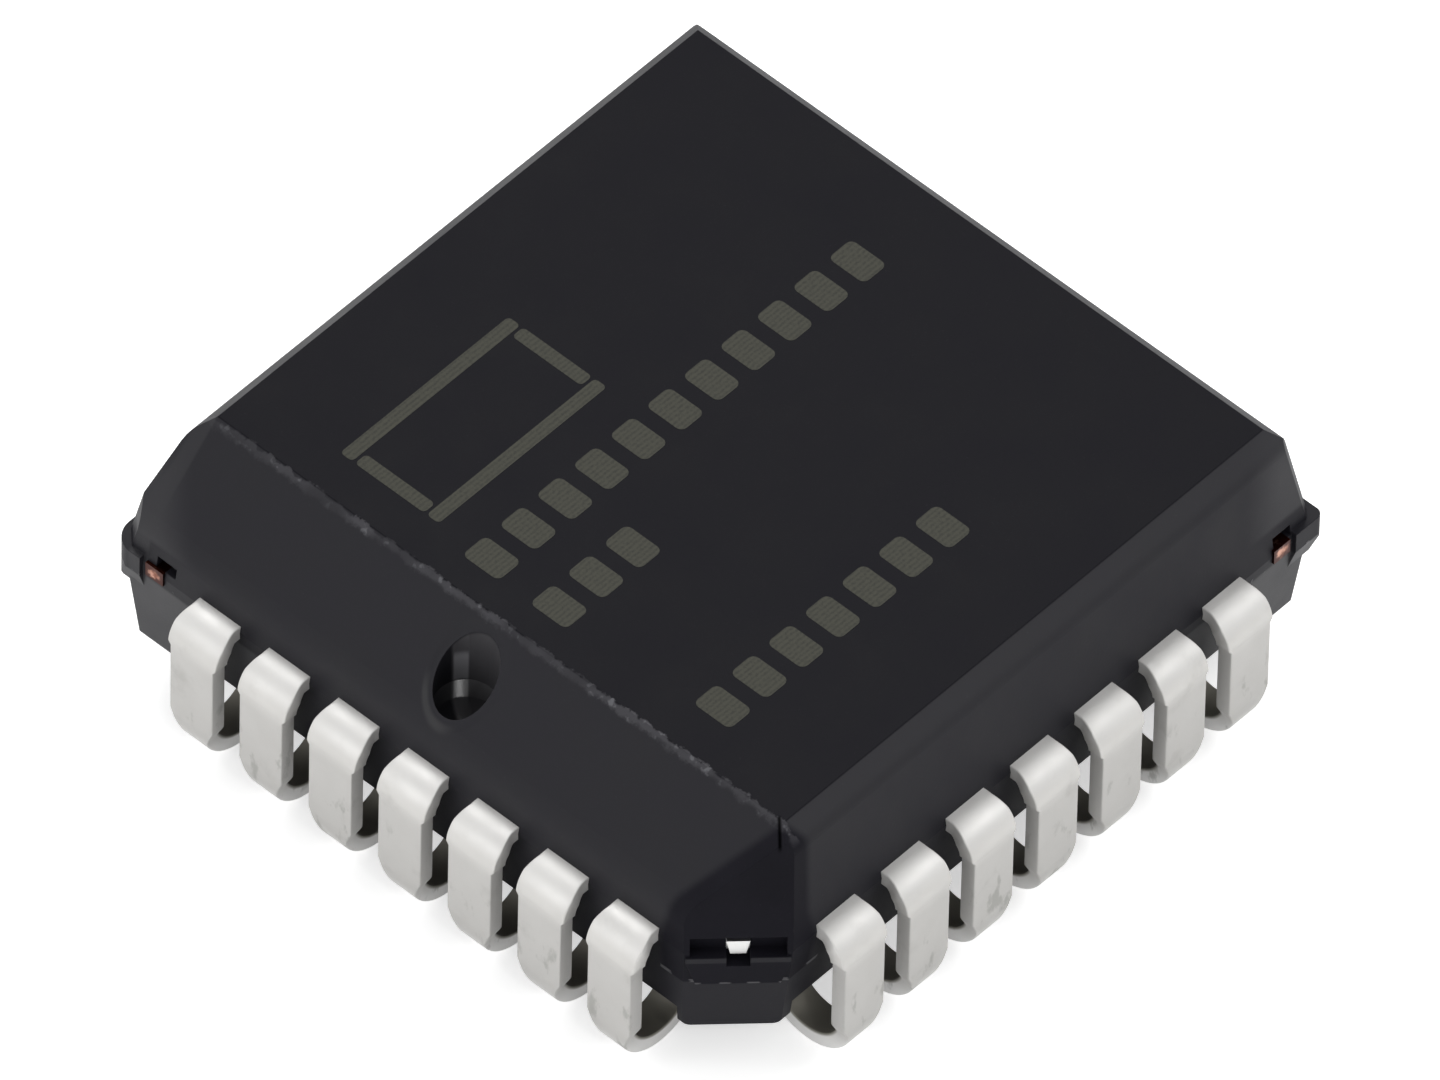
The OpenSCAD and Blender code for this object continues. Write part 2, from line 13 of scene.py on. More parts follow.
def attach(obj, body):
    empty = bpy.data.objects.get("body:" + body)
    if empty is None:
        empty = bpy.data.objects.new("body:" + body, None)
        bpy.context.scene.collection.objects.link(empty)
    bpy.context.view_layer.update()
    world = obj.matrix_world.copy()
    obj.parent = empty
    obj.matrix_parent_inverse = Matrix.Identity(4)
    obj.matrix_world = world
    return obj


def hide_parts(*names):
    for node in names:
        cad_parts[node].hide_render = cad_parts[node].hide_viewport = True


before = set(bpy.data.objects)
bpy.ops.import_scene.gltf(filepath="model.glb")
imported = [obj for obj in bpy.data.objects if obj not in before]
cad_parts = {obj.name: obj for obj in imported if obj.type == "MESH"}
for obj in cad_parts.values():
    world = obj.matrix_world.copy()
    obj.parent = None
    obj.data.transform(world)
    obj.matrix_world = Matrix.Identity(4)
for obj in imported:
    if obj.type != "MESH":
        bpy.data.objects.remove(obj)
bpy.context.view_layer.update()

log = logging.getLogger("chip_carrier")

# One millimetre in metres: lengths below are in millimetres unless they say otherwise
MM = 0.001
BODY = "root"
# Vertices closer than this, in millimetres, are one
MERGE_DISTANCE = 1e-5
# Edges that turn by more than this, in degrees, stay sharp
SHARP_ANGLE = 50.0
# Profile of a bevel that is an arc
ROUND = 0.5

BMesh = bmesh.types.BMesh
Material = bpy.types.Material
Socket = bpy.types.NodeSocket
Value = Socket | float
# Red, green and blue, linear
Colour = tuple[float, float, float]
# Two values of one measure
Span = tuple[float, float]

BLACK: Colour = (0.0, 0.0, 0.0)
WHITE: Colour = (1.0, 1.0, 1.0)
RISE: Span = (0.0, 1.0)
FALL: Span = (1.0, 0.0)
NO_METAL = 0.0


class Slot(Enum):
    """The record's material slots."""

    COMPOUND = "moulding_compound"
    TIN = "tinned_lead"
    COPPER = "bare_copper"
    ADHESIVE = "silver_adhesive"
    SILICON = "silicon"
    GOLD = "gold_wire"


class Lamp(Enum):
    """The studio's soft lamps."""

    OVERHEAD = "overhead_lamp"
    BEVEL_SIDE = "bevel_side_lamp"
    RIGHT_SIDE = "right_side_lamp"
    FRONT = "front_lamp"


@dataclass(frozen=True)
class Noise:
    """Noise of about one feature each 1/per_mm millimetres.

    Where it makes patches, span says where a patch starts and is full, and to the result at both.
    """

    per_mm: float
    detail: float = 2.0
    rough: float = 0.5
    span: Span = RISE
    to: Span = RISE


@dataclass(frozen=True)
class Relief:
    """Height of a bump's full step in millimetres, and the share of it that shows."""

    height: float
    strength: float


class NodeTree:
    """A node tree, with short calls for the nodes that the finishes and the surroundings share."""

    def __init__(self, tree: bpy.types.NodeTree) -> None:
        """Start with an empty tree."""
        self.tree = tree
        tree.nodes.clear()

    def node(self, kind: str, inputs: dict[str | int, object], **settings: object) -> bpy.types.Node:
        """Add a node.

        Args:
            kind: Blender's name for the node type.
            inputs: Socket or number for each input that doesn't stay as it is.
            **settings: Properties to set on it.

        Returns:
            The new node.
        """
        made = self.tree.nodes.new(kind)
        for name, value in settings.items():
            setattr(made, name, value)
        for name, value in inputs.items():
            if isinstance(value, Socket):
                self.tree.links.new(value, made.inputs[name])
            else:
                made.inputs[name].default_value = value
        return made

    def ramp(self, value: Socket, span: Span, to: Span = RISE, curve: str = "SMOOTHSTEP") -> Socket:
        """Map a value from one range to another, clamped at both ends.

        Args:
            value: What is mapped.
            span: Where the result starts and ends to change.
            to: The result at both.
            curve: Blender's name for the way between them.

        Returns:
            The mapped value.
        """
        names = ("Value", "From Min", "From Max", "To Min", "To Max")
        inputs = dict(zip(names, (value, *span, *to)))
        return self.node("ShaderNodeMapRange", inputs, interpolation_type=curve).outputs["Result"]

    def math(self, operation: str, first: Value, *others: Value) -> Socket:
        """Add a Math node for each further value, and chain them.

        Args:
            operation: Blender's name for the operation.
            first: First value.
            *others: Further values. An operation on one value has none.

        Returns:
            The result.
        """
        result = first
        for other in others or (0.0,):
            made = self.node("ShaderNodeMath", {0: result, 1: other}, operation=operation)
            result = made.outputs["Value"]
        return result

    def product(self, *factors: Value) -> Socket:
        """Multiply values."""
        return self.math("MULTIPLY", *factors)

    def total(self, *terms: Value) -> Socket:
        """Add values."""
        return self.math("ADD", *terms)

    def less(self, *values: Value) -> Socket:
        """Take the further values away from the first."""
        return self.math("SUBTRACT", *values)

    def reach(self, across: Socket, up: Socket) -> Socket:
        """Distance from a point, from the distances along two axes."""
        return self.math("SQRT", self.total(self.product(across, across), self.product(up, up)))

    def between(self, factor: Socket, first: Value, second: Value) -> Socket:
        """Mix two values: factor 0 gives the first and 1 the second."""
        return self.total(self.product(first, self.less(1.0, factor)), self.product(factor, second))


class Shading(NodeTree):
    """The material of a piece, with the piece's own coordinates in millimetres."""

    def __init__(self, name: str) -> None:
        """Start a material with its coordinates.

        Args:
            name: The material's name.
        """
        self.material = bpy.data.materials.new(name)
        self.material.use_nodes = True
        super().__init__(self.material.node_tree)
        own = self.node("ShaderNodeTexCoord", {}).outputs["Object"]
        self.place = self.scaled(own, (1 / MM, 1 / MM, 1 / MM))
        self.x, self.y, self.z = self.node("ShaderNodeSeparateXYZ", {"Vector": self.place}).outputs

    def scaled(self, vector: Socket, scale: tuple[float, float, float]) -> Socket:
        """Scale coordinates by a factor for each axis."""
        return self.node("ShaderNodeMapping", {"Vector": vector, "Scale": scale}).outputs["Vector"]

    def away(self) -> list[Socket]:
        """Distances from the part's two upright middle planes."""
        return [self.math("ABSOLUTE", axis) for axis in (self.x, self.y)]

    def noise(self, noise: Noise, where: Socket | None = None) -> Socket:
        """Value of a noise, from 0 to 1, at the piece's own coordinates or at other ones."""
        grain = {"Scale": noise.per_mm, "Detail": noise.detail, "Roughness": noise.rough}
        return self.node("ShaderNodeTexNoise", {"Vector": where or self.place, **grain}).outputs["Fac"]

    def patches(self, noise: Noise, where: Socket | None = None) -> Socket:
        """Patches that a noise makes."""
        return self.ramp(self.noise(noise, where), noise.span, noise.to)

    def blend(self, factor: Socket, first: Socket | Colour, second: Socket | Colour) -> Socket:
        """Mix two colours.

        Args:
            factor: 0 gives the first and 1 the second.
            first: Colour or socket.
            second: Colour or socket.

        Returns:
            The mixed colour.
        """
        first, second = (end if isinstance(end, Socket) else (*end, 1.0) for end in (first, second))
        # Of its sockets for each data type, inputs 6 and 7 and output 2 are the ones for colours
        mix = self.node("ShaderNodeMix", {"Factor": factor, 6: first, 7: second}, data_type="RGBA")
        return mix.outputs[2]

    def bump(self, height: Socket, relief: Relief, below: Socket | None = None) -> Socket:
        """Add a bump.

        Args:
            height: Height field, from 0 to 1.
            relief: How high it is and shows.
            below: Normal that the bump lies on, if not the surface's own.

        Returns:
            The bumped normal.
        """
        inputs = {"Height": height, "Strength": relief.strength, "Distance": relief.height * MM}
        if below is not None:
            inputs["Normal"] = below
        return self.node("ShaderNodeBump", inputs).outputs["Normal"]

    def principled(
        self, colour: Socket, roughness: Socket, normal: Socket, metallic: float, specular: Value = 0.5
    ) -> Material:
        """Close the tree with a Principled shader.

        Args:
            colour: Base colour.
            roughness: Roughness.
            normal: Bumped normal.
            metallic: Share of metal.
            specular: Specular level.

        Returns:
            The finished material.
        """
        names = ("Base Color", "Roughness", "Normal", "Metallic", "Specular IOR Level")
        inputs = dict(zip(names, (colour, roughness, normal, metallic, specular)))
        shader = self.node("ShaderNodeBsdfPrincipled", inputs)
        self.node("ShaderNodeOutputMaterial", {"Surface": shader.outputs["BSDF"]})
        return self.material


@dataclass(frozen=True)
class PinMark:
    """The dimple that marks pin one."""

    x: float
    diameter: float
    floor_z: float

    def shares(self, span: Span) -> Span:
        """Lengths that are these shares of the diameter."""
        return self.diameter * span[0], self.diameter * span[1]


@dataclass(frozen=True)
class EdgeChips:
    """Small chips along the upper edge of the wide bevel."""

    bites: Noise = Noise(6.0, 5.0, 0.62, (0.36, 0.70), (-0.015, 0.050))
    drift: float = 0.004
    top_span: Span = (-0.018, 0.018)
    bevel_span: Span = (-0.09, -0.02)
    bite_below: float = 0.8
    depth_span: Span = (0.3, 0.2)
    wear: Noise = Noise(1.1, span=(0.34, 0.62), to=(0.25, 1.0))

    def mask(self, sh: Shading, edge_x: float, top_z: float) -> Socket:
        """Mask of the chips.

        Args:
            sh: The material's tree.
            edge_x: X of the edge at the middle of the side.
            top_z: Height of the top face.

        Returns:
            1 in a chip and 0 outside.
        """
        bite = sh.patches(self.bites)
        drifted = sh.total(sh.x, sh.product(sh.y, self.drift))
        from_edge = sh.less(drifted, edge_x)
        over_top = sh.ramp(sh.less(from_edge, bite), self.top_span, FALL)
        fade = sh.ramp(sh.total(from_edge, sh.product(bite, self.bite_below)), self.bevel_span)
        near_top = sh.ramp(sh.z, (top_z - self.depth_span[0], top_z - self.depth_span[1]))
        return sh.product(over_top, fade, near_top, sh.patches(self.wear))


@dataclass(frozen=True)
class LipHighlights:
    """Painted highlights in small chip-like marks along the cut corner's ledge and the side corners'
    lips.

    Places along a corner are differences of X and Y, and places towards it are their sums.
    """

    ledge_z: float = 1.92
    ledge_line: Span = (0.020, 0.042)
    ledge_front: Span = (-9.6, -9.3)
    first: float = 0.81
    half_pitch: float = 0.2775
    half_length: Span = (0.05, 0.12)
    ragged: Noise = Noise(8.0, 3.0, span=(0.3, 0.7), to=(-0.06, 0.06))
    lip_z: float = 2.35
    lip_line: Span = (0.02, 0.05)
    lip_corners: Span = (9.4, 9.8)
    broken: Noise = Noise(4.2, 3.0, span=(0.56, 0.62))

    def mask(self, sh: Shading) -> Socket:
        """Mask of the painted highlights.

        Args:
            sh: The material's tree.

        Returns:
            1 in a painted highlight and 0 outside.
        """
        sideways = sh.less(sh.x, sh.y)
        # Painted highlights in short pieces along the ledge's lower edge
        line = sh.ramp(sh.math("ABSOLUTE", sh.less(sh.z, self.ledge_z)), self.ledge_line, FALL)
        along = sh.math("PINGPONG", sh.total(sideways, self.first), self.half_pitch)
        chip = sh.ramp(sh.total(along, sh.patches(self.ragged)), self.half_length, FALL)
        of_ledge = sh.product(line, chip, sh.ramp(sh.total(sh.x, sh.y), self.ledge_front, FALL))
        # Painted highlights, broken up, along the lips of the side corners
        line = sh.ramp(sh.math("ABSOLUTE", sh.less(sh.z, self.lip_z)), self.lip_line, FALL)
        at_corner = sh.ramp(sh.math("ABSOLUTE", sideways), self.lip_corners)
        of_lip = sh.product(line, at_corner, sh.patches(self.broken))
        return sh.math("MAXIMUM", of_ledge, of_lip)


@dataclass(frozen=True)
class CompoundGloss:
    """Specular level of each face of the body below the top one.

    Places along a corner are differences of X and Y, and places towards it are their sums.
    """

    wide_bevel: float = 0.24
    narrow_bevel: float = 0.37
    narrow_span: Span = (5.12, 5.17)
    wall: float = 0.19
    wall_span: Span = (5.35, 5.45)
    cut: float = 0.06
    cut_span: Span = (-9.98, -9.80)
    cut_lean: float = 0.30
    cut_lean_z: float = 3.0
    ledge: float = 0.20
    ledge_foot: Span = (1.87, 1.92)
    ledge_lip: Span = (2.335, 2.355)
    ledge_face: Span = (-10.37, -10.35)
    corner: float = 0.45
    corner_span: Span = (9.9, 10.7)
    corner_foot: Span = (2.95, 3.05)
    low_corner: float = 0.66
    low_corner_span: Span = (7.5, 9.0)
    low_corner_top: Span = (2.27, 2.35)

    def level(self, sh: Shading) -> Socket:
        """Specular level over the body.

        Args:
            sh: The material's tree.

        Returns:
            The level.
        """
        out = sh.math("MAXIMUM", sh.math("ABSOLUTE", sh.y), sh.x)
        level = sh.ramp(out, self.narrow_span, (self.wide_bevel, self.narrow_bevel))
        level = sh.between(sh.ramp(out, self.wall_span), level, self.wall)
        # The cut corner leans in above the side corners' lips
        above = sh.math("MAXIMUM", sh.less(sh.z, self.cut_lean_z), 0.0)
        towards = sh.less(sh.total(sh.x, sh.y), sh.product(above, self.cut_lean))
        level = sh.between(sh.ramp(towards, self.cut_span, FALL), level, self.cut_level(sh))
        sideways = sh.math("ABSOLUTE", sh.less(sh.x, sh.y))
        upper = sh.product(sh.ramp(sideways, self.corner_span), sh.ramp(sh.z, self.corner_foot))
        level = sh.between(upper, level, self.corner)
        low = sh.ramp(sh.z, self.low_corner_top, FALL)
        lower = sh.product(sh.ramp(sideways, self.low_corner_span), low)
        return sh.between(lower, level, self.low_corner)

    def cut_level(self, sh: Shading) -> Socket:
        """Level on the cut corner: low, but for the part under the ledge and the ledge's upper strip.

        Args:
            sh: The material's tree.

        Returns:
            The level.
        """
        front = sh.ramp(sh.total(sh.x, sh.y), self.ledge_face, FALL)
        lip = sh.product(sh.ramp(sh.z, self.ledge_lip), front)
        dark = sh.product(sh.ramp(sh.z, self.ledge_foot), sh.less(1.0, lip))
        return sh.ramp(dark, RISE, (self.ledge, self.cut))


@dataclass(frozen=True)
class DimpleFinish:
    """Colour and gloss in and round the dimple: painted shade on one side of its wall, a painted
    highlight low on the far wall and a painted highlight on the lower side of its rim.

    The shares are of the dimple's diameter, and the strip is the bright part of its wall.
    """

    # Painted light and painted shade of the wall's two sides, and the painted highlights low on the wall
    # and on the rim
    light: Colour = (0.042, 0.041, 0.045)
    dark: Colour = (0.006, 0.006, 0.008)
    streak: Colour = (0.15, 0.15, 0.16)
    ring: Colour = (0.034, 0.034, 0.036)
    roughness: float = 0.30
    specular: float = 0.9
    wall_share: Span = (0.50, 0.51)
    depth_span: Span = (0.01, 0.08)
    strip_x: float = 0.788
    strip_y: float = 0.616
    strip_span: Span = (0.08, 0.12)
    dark_span: Span = (0.10, 0.15)
    streak_share: Span = (0.46, 0.48)
    streak_foot: Span = (3.20, 3.26)
    streak_top: Span = (3.68, 3.84)
    ring_share: Span = (0.54, 0.60)
    ring_span: Span = (0.56, 0.62)
    ring_x: Span = (-0.38, -0.1)
    ring_strength: float = 0.75
    ring_y: Span = (-0.30, 0.05)
    dish_share: float = 0.52
    dish_r: float = 0.60
    dish: Relief = Relief(0.03, 0.6)
    foot_h: float = 0.36
    foot: Relief = Relief(1.2, 1.0)

    def place(self, sh: Shading, mark: PinMark) -> tuple[Socket, Socket, Socket]:
        """Place of a point in the dimple.

        Args:
            sh: The material's tree.
            mark: The dimple.

        Returns:
            Distance from the dimple's axis, place across the strip, and the strip's mask.
        """
        across = sh.less(sh.x, mark.x)
        side = sh.less(sh.product(sh.y, self.strip_y), sh.product(across, self.strip_x))
        return sh.reach(across, sh.y), side, sh.ramp(sh.math("ABSOLUTE", side), self.strip_span, FALL)

    def tone(
        self, sh: Shading, tone: Socket, inside: Socket, mark: PinMark, place: tuple[Socket, ...]
    ) -> Socket:
        """Colour in and round the dimple, with its painted shade and painted highlights.

        Args:
            sh: The material's tree.
            tone: Colour of the compound.
            inside: 1 in the dimple and 0 elsewhere.
            mark: The dimple.
            place: What the method of that name returns.

        Returns:
            The colour.
        """
        reach, side, strip = place
        # Painted shade on one side of the wall, painted light on the other
        bare = sh.blend(sh.ramp(side, self.dark_span), self.light, self.dark)
        # Painted highlight low on the far wall
        wall = sh.ramp(reach, mark.shares(self.streak_share))
        high = sh.product(sh.ramp(sh.z, self.streak_foot), sh.ramp(sh.z, self.streak_top, FALL))
        bare = sh.blend(sh.product(wall, strip, high), bare, self.streak)
        # Painted highlight on the rim's lower side
        outer = sh.ramp(reach, mark.shares(self.ring_share))
        ring = sh.product(outer, sh.ramp(reach, self.ring_span, FALL))
        past = (mark.x + self.ring_x[0], mark.x + self.ring_x[1])
        downhill = sh.product(sh.ramp(sh.x, past, (self.ring_strength, 0.0)), sh.ramp(sh.y, self.ring_y))
        tone = sh.blend(sh.product(ring, downhill), tone, self.ring)
        return sh.blend(inside, tone, bare)


@dataclass(frozen=True)
class CompoundFinish:
    """Matt black moulding compound, with a chipped edge, a smooth pin mark, and painted shade and
    highlights.
    """

    dark: Colour = (0.0072, 0.0069, 0.0102)
    light: Colour = (0.0098, 0.0094, 0.0134)
    filler: Colour = (0.020, 0.019, 0.024)
    chip: Colour = (0.040, 0.039, 0.045)
    sparkle: Colour = (0.10, 0.10, 0.11)
    # Colour of the painted highlights along the ledge and lips
    spot: Colour = (0.085, 0.084, 0.090)
    roughness: Span = (0.50, 0.62)
    roughness_span: Span = (0.2, 0.8)
    top_specular: float = 0.08
    # Painted shade that darkens the top face
    top_shade: float = 0.32
    top_depths: Span = (0.02, 0.004)
    mottle: Noise = Noise(0.9, 4.0, 0.6)
    mottle_span: Span = (0.3, 0.7)
    mottle_relief: Relief = Relief(0.010, 0.35)
    grain: Noise = Noise(26.0, 3.0, 0.65)
    grain_span: Span = (0.62, 0.80)
    grain_share: float = 0.8
    grain_relief: Relief = Relief(0.0022, 0.6)
    sparkles: Noise = Noise(7.0, span=(0.58, 0.68))
    chip_relief: Relief = Relief(0.012, 0.7)
    spot_relief: Relief = Relief(0.02, 0.7)
    # Place, width and darkness of the crease's painted shade
    crease_at: float = 0.76
    crease_line: Span = (0.005, 0.060)
    crease_depth: float = 0.9
    crease_front: Span = (-9.35, -9.25)
    crease_foot: Span = (4.10, 4.24)
    edge_radius: float = 0.018
    edge_samples: int = 6
    edge_chips: EdgeChips = EdgeChips()
    lip_highlights: LipHighlights = LipHighlights()
    gloss: CompoundGloss = CompoundGloss()
    dimple: DimpleFinish = DimpleFinish()

    def make(self, chipped_x: float, top_z: float, mark: PinMark) -> Material:
        """Build the material.

        Args:
            chipped_x: X of the edge between the top face and the wide bevel.
            top_z: Height of the top face.
            mark: The dimple.

        Returns:
            The material.
        """
        sh = Shading(Slot.COMPOUND.value)
        mottle = sh.noise(self.mottle)
        grain = sh.noise(self.grain)
        tone = sh.blend(sh.ramp(mottle, self.mottle_span), self.dark, self.light)
        tone = sh.blend(sh.ramp(grain, self.grain_span, (0.0, self.grain_share)), tone, self.filler)

        chips = self.edge_chips.mask(sh, chipped_x, top_z)
        chipped = sh.blend(sh.patches(self.sparkles), self.chip, self.sparkle)
        tone = sh.blend(chips, tone, chipped)
        # Painted highlights along the ledge and lips, with a small bump
        spots = self.lip_highlights.mask(sh)
        tone = sh.blend(spots, tone, self.spot)

        # The top face, outside the chips, gets painted shade
        high = sh.ramp(sh.z, (top_z - self.top_depths[0], top_z - self.top_depths[1]))
        on_top = sh.product(high, sh.less(1.0, chips))
        crease = self.crease(sh)
        # Painted shade of the top face and of the crease, as one darkening
        shade = sh.math("MAXIMUM", sh.product(on_top, self.top_shade), crease)
        tone = sh.blend(shade, tone, BLACK)
        specular = sh.between(on_top, self.gloss.level(sh), self.top_specular)
        specular = sh.between(crease, specular, 0.0)

        dimple = self.dimple
        reach, side, strip = dimple.place(sh, mark)
        hole = sh.ramp(reach, mark.shares(dimple.wall_share), FALL)
        # The wide bevel lies at 45 degrees, so X gives its height over a point of the dimple
        depth = sh.less(sh.x, sh.z, chipped_x - top_z)
        inside = sh.product(hole, sh.ramp(depth, dimple.depth_span))
        tone = dimple.tone(sh, tone, inside, mark, (reach, side, strip))
        shiny = sh.product(inside, strip)
        specular = sh.between(shiny, specular, dimple.specular)
        matt = sh.ramp(mottle, self.roughness_span, self.roughness)
        roughness = sh.between(shiny, matt, dimple.roughness)

        edges = sh.node("ShaderNodeBevel", {"Radius": self.edge_radius * MM}, samples=self.edge_samples)
        normal = edges.outputs["Normal"]
        foot = sh.math("MAXIMUM", sh.less(mark.floor_z + dimple.foot_h, sh.z), 0.0)
        for height, relief in (
            (sh.ramp(reach, (mark.diameter * dimple.dish_share, dimple.dish_r)), dimple.dish),
            (sh.product(hole, foot), dimple.foot),
            (spots, self.spot_relief),
            (mottle, self.mottle_relief),
            (grain, self.grain_relief),
            (chips, self.chip_relief),
        ):
            normal = sh.bump(height, relief, normal)
        return sh.principled(tone, roughness, normal, NO_METAL, specular)

    def crease(self, sh: Shading) -> Socket:
        """Mask of the painted shade in a short crease where the wide bevel ends at the cut corner.

        Args:
            sh: The material's tree.

        Returns:
            1 in the crease and 0 outside.
        """
        aside = sh.math("ABSOLUTE", sh.less(sh.x, sh.y, self.crease_at))
        line = sh.ramp(aside, self.crease_line, (self.crease_depth, 0.0))
        near = sh.ramp(sh.total(sh.x, sh.y), self.crease_front, FALL)
        return sh.product(line, near, sh.ramp(sh.z, self.crease_foot))


@dataclass(frozen=True)
class MetalFinish:
    """A plated or bare metal with fine grain and soft tarnish."""

    name: str
    base: Colour
    tarnish: Colour
    roughness: Span
    metallic: float = 1.0
    patches: Noise = Noise(1.6, 4.0, 0.6, (0.55, 0.85))
    grain: Noise = Noise(38.0, 2.0, 0.6)
    grain_relief: Relief = Relief(0.0016, 0.5)
    wave: Noise = Noise(2.2)
    wave_span: Span = (0.25, 0.75)
    wave_relief: Relief = Relief(0.006, 0.6)

    def make(self) -> Material:
        """Build the material.

        Returns:
            The material.
        """
        sh = Shading(self.name)
        colour = self.marked(sh, sh.blend(sh.patches(self.patches), self.base, self.tarnish))
        wave = sh.noise(self.wave)
        roughness = sh.ramp(wave, self.wave_span, self.roughness)
        normal = sh.bump(sh.noise(self.grain), self.grain_relief, sh.bump(wave, self.wave_relief))
        return sh.principled(colour, roughness, normal, self.metallic)

    def marked(self, sh: Shading, colour: Socket) -> Socket:
        """Add the marks of this metal's place on the part, which a plain metal doesn't have."""
        return colour


@dataclass(frozen=True)
class TinFinish(MetalFinish):
    """Satin tin plating: painted shade on the legs, painted light on the shoulders and feet, and grey
    smudges low on the leg.
    """

    # Painted shade on the leg, painted light on the foot and a painted highlight on the shoulder
    leg_shade: float = 0.15
    leg_top: Span = (2.0, 2.35)
    leg_foot: Span = (0.25, 0.75)
    foot_light: float = 0.48
    foot_span: Span = (0.15, 0.75)
    shoulder_light: float = 0.19
    shoulder_span: Span = (2.34, 2.52)
    smudge: Colour = (0.30, 0.30, 0.28)
    smudges: Noise = Noise(3.1, 4.0, 0.6, (0.57, 0.68), (0.0, 0.58))
    smudge_draw: float = 0.45
    smudge_low: Span = (0.10, 0.25)
    smudge_high: Span = (1.35, 1.85)
    # Painted shade on the J's inner side
    inner_shade: Colour = (0.22, 0.21, 0.18)
    curl_u: float = 5.425
    curl_z: float = 0.8
    curl_span: Span = (0.56, 0.61)
    curl_high: Span = (0.7, 1.3)

    def marked(self, sh: Shading, colour: Socket) -> Socket:
        """Paint shade and light on the lead along its height, add its smudges, and paint shade on its
        inner side.

        Args:
            sh: The material's tree.
            colour: The tin with its tarnish.

        Returns:
            The colour with the marks.
        """
        # Painted shade on the leg, then painted light on the foot and the shoulder
        high = sh.ramp(sh.z, self.leg_top, (self.leg_shade, 0.0))
        colour = sh.blend(sh.product(high, sh.ramp(sh.z, self.leg_foot)), colour, BLACK)
        foot = sh.ramp(sh.z, self.foot_span, (self.foot_light, 0.0))
        shoulder = sh.ramp(sh.z, self.shoulder_span, (0.0, self.shoulder_light))
        colour = sh.blend(sh.math("MAXIMUM", foot, shoulder), colour, WHITE)
        drawn = sh.scaled(sh.place, (1.0, 1.0, self.smudge_draw))
        low = sh.product(sh.ramp(sh.z, self.smudge_low), sh.ramp(sh.z, self.smudge_high, FALL))
        colour = sh.blend(sh.product(low, sh.patches(self.smudges, drawn)), colour, self.smudge)
        # Painted shade on the J's inner side
        return sh.blend(self.inner_side(sh), colour, self.inner_shade)

    def inner_side(self, sh: Shading) -> Socket:
        """Mask of the J's inner side, which gets painted shade."""
        reach = sh.reach(sh.less(sh.math("MAXIMUM", *sh.away()), self.curl_u), sh.less(sh.z, self.curl_z))
        return sh.product(sh.ramp(reach, self.curl_span, FALL), sh.ramp(sh.z, self.curl_high, FALL))


@dataclass(frozen=True)
class CopperFinish(MetalFinish):
    """Bare copper alloy, with a painted reflection that makes the end in the cut corner near white.

    The cut ends that show at the two side corners get painted brown shade round their middle.
    """

    # Painted reflection: the end in the cut corner near white
    bright_end: Colour = (0.80, 0.80, 0.79)
    bright_end_span: Span = (-8.7, -8.6)
    # Painted brown shade round the cut ends at the side corners
    rim: Colour = (0.055, 0.014, 0.009)
    rim_span: Span = (0.05, 0.12)
    end_v: float = 4.975
    end_z: float = 2.53
    end_span: Span = (5.3, 5.4)
    ragged: Noise = Noise(9.0, span=(0.2, 0.8), to=(-0.04, 0.04))

    def marked(self, sh: Shading, colour: Socket) -> Socket:
        """Add the painted brown shade round the cut ends and the painted reflection on the end in the cut
        corner.
        """
        # Painted brown shade round the cut ends
        rimmed = sh.blend(self.end_rim(sh), colour, self.rim)
        # Painted reflection on the end in the cut corner
        return sh.blend(sh.ramp(sh.total(sh.x, sh.y), self.bright_end_span, FALL), rimmed, self.bright_end)

    def end_rim(self, sh: Shading) -> Socket:
        """Mask of the painted brown shade round the cut ends.

        Args:
            sh: The material's tree.

        Returns:
            1 on the rim and 0 elsewhere.
        """
        away = sh.away()
        reach = sh.reach(sh.less(sh.math("MINIMUM", *away), self.end_v), sh.less(sh.z, self.end_z))
        near_end = sh.ramp(sh.math("MAXIMUM", *away), self.end_span)
        return sh.product(near_end, sh.ramp(sh.total(reach, sh.patches(self.ragged)), self.rim_span))


@dataclass(frozen=True)
class DieFinish:
    """Polished silicon with a faint grid of circuit blocks on its upper face."""

    silicon: Colour = (0.075, 0.088, 0.115)
    block: Colour = (0.16, 0.15, 0.19)
    line: Colour = (0.34, 0.32, 0.30)
    block_per_mm: float = 2.4
    block_offset: float = 0.37
    block_squash: float = 1.4
    line_width: float = 0.018
    fine: Noise = Noise(18.0, 3.0)
    fine_span: Span = (0.4, 0.7)
    fine_share: float = 0.4
    roughness: Span = (0.16, 0.24)
    roughness_span: Span = (0.2, 0.8)
    relief: Relief = Relief(0.001, 0.4)
    specular: float = 0.7

    def make(self) -> Material:
        """Build the material.

        Returns:
            The material.
        """
        sh = Shading(Slot.SILICON.value)
        inputs = {"Vector": sh.place, "Scale": self.block_per_mm, "Mortar Size": self.line_width}
        for name, colour in (("Color1", self.silicon), ("Color2", self.block), ("Mortar", self.line)):
            inputs[name] = (*colour, 1.0)
        blocks = sh.node("ShaderNodeTexBrick", inputs, offset=self.block_offset, squash=self.block_squash)
        fine = sh.noise(self.fine)
        dusted = sh.ramp(fine, self.fine_span, (0.0, self.fine_share))
        colour = sh.blend(dusted, blocks.outputs["Color"], self.silicon)
        roughness = sh.ramp(fine, self.roughness_span, self.roughness)
        normal = sh.bump(blocks.outputs["Fac"], self.relief)
        return sh.principled(colour, roughness, normal, NO_METAL, self.specular)


